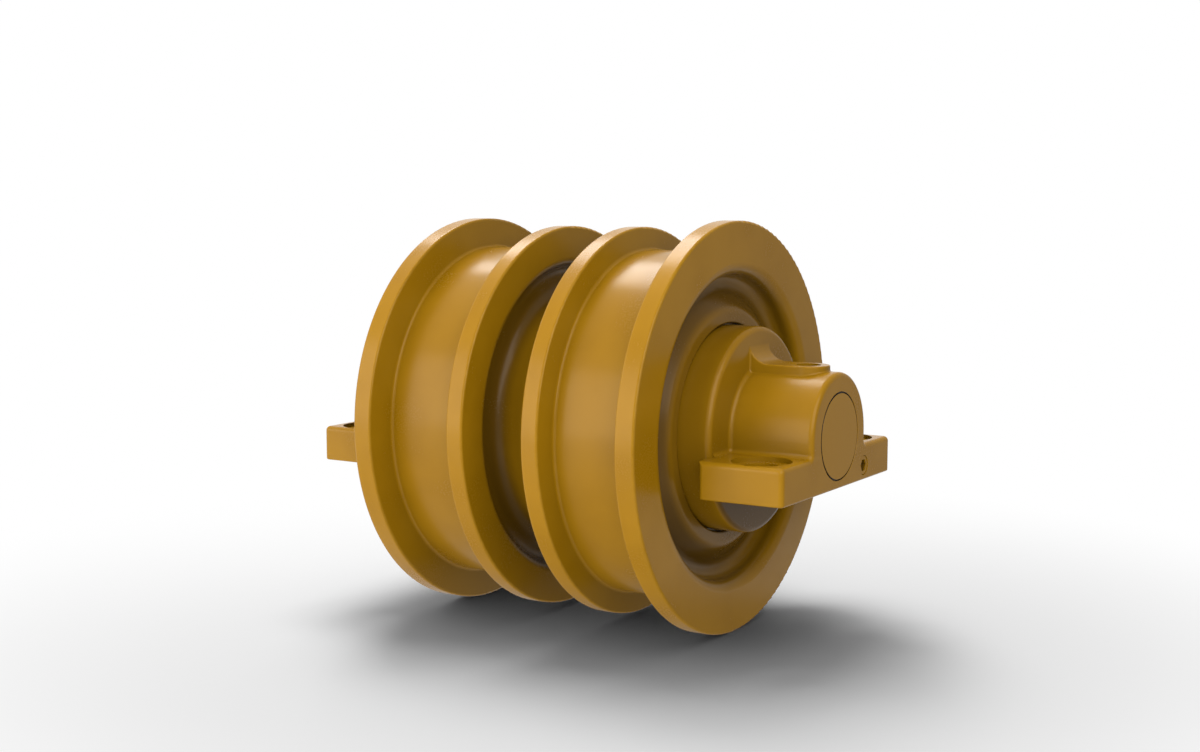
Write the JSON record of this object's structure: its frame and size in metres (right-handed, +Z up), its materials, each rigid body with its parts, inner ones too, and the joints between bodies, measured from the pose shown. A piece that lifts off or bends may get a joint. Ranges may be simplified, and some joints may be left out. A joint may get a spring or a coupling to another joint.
{
  "type": "double flange track roller",
  "caption": "Wide track roller with rail treads between flanges, a deep centre groove and dished ends, on a shaft held by omega-shaped bolt-down brackets.",
  "frame": {"origin": "on the roller's axis, halfway along it", "axes": "+Y along the axis towards the far bracket, +Z up, with the brackets' seats facing -Z"},
  "size_m": [0.43, 0.565, 0.43],
  "materials": {
    "drum_paint": "satin mustard-gold enamel",
    "bracket_paint": "satin mustard-gold enamel",
    "shaft_steel": "ground steel with gold enamel over its ends",
    "pin_steel": "hardened steel",
    "plug_steel": "satin mustard-gold enamel",
    "bush_bronze": "bored bronze",
    "seal_metal": "lapped alloy iron",
    "seal_rubber": "matt black rubber"
  },
  "bodies": {
    "carrier": {"shaft": "shaft_steel", "bracket_near": "bracket_paint", "bracket_far": "bracket_paint", "retaining_pin_near": "pin_steel", "retaining_pin_far": "pin_steel", "oil_plug_near": "plug_steel", "oil_plug_far": "plug_steel", "shaft_oring_near": "seal_rubber", "shaft_oring_far": "seal_rubber", "seal_ring_fixed_near": "seal_metal", "seal_ring_fixed_far": "seal_metal", "toric_ring_fixed_near": "seal_rubber", "toric_ring_fixed_far": "seal_rubber"},
    "roller": {"roller_drum": "drum_paint", "bushing_near": "bush_bronze", "bushing_far": "bush_bronze", "bushing_dowels_near": "pin_steel", "bushing_dowels_far": "pin_steel", "seal_ring_turning_near": "seal_metal", "seal_ring_turning_far": "seal_metal", "toric_ring_turning_near": "seal_rubber", "toric_ring_turning_far": "seal_rubber"}
  },
  "joints": [
    {"name": "roller_spin", "type": "hinge", "parent": "carrier", "child": "roller", "pos_m": [0, 0, 0], "axis": [0, 1, 0], "continuous": true}
  ]
}
